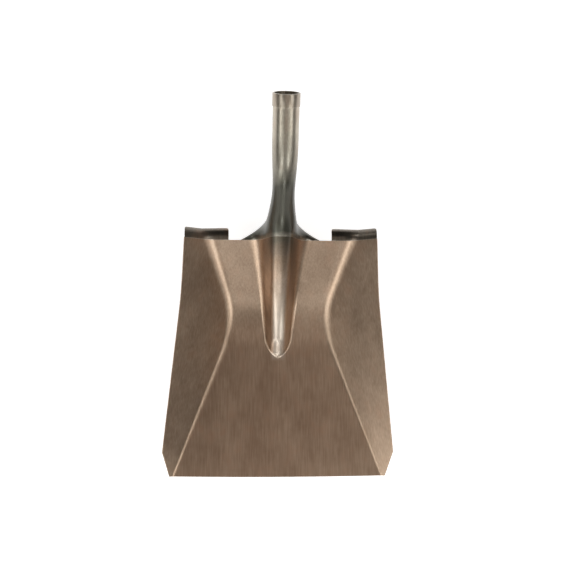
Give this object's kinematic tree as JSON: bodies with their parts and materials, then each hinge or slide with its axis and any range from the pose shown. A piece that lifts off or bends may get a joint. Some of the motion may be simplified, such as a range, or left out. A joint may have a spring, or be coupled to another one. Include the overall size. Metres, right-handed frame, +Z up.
{
  "type": "scoop shovel head",
  "caption": "Square-mouth steel scoop shovel head with a raised frog, rolled foot treads and a hollow handle socket, lacquered brown.",
  "frame": {"origin": "on the floor's underside, under the middle of the head's whole length and width", "axes": "+Y from the front edge towards the handle socket, +X to the right, +Z up out of the pan"},
  "size_m": [0.356, 0.5517, 0.2495],
  "materials": {
    "pan_steel": "clear-lacquered brown rolled steel, semi-gloss",
    "socket_steel": "clear-lacquered steel, paler at the mouth, heat-darkened at the neck",
    "band_steel": "clear-lacquered steel, satin",
    "tread_steel": "clear-lacquered dark steel, semi-gloss",
    "weld_metal": "rippled weld bead under lacquer"
  },
  "bodies": {
    "root": {"pan": "pan_steel", "socket": "socket_steel", "mouth_band": "band_steel", "left_step": "tread_steel", "right_step": "tread_steel", "seam_weld": "weld_metal", "neck_weld": "weld_metal", "left_step_weld": "weld_metal", "right_step_weld": "weld_metal"}
  },
  "joints": []
}
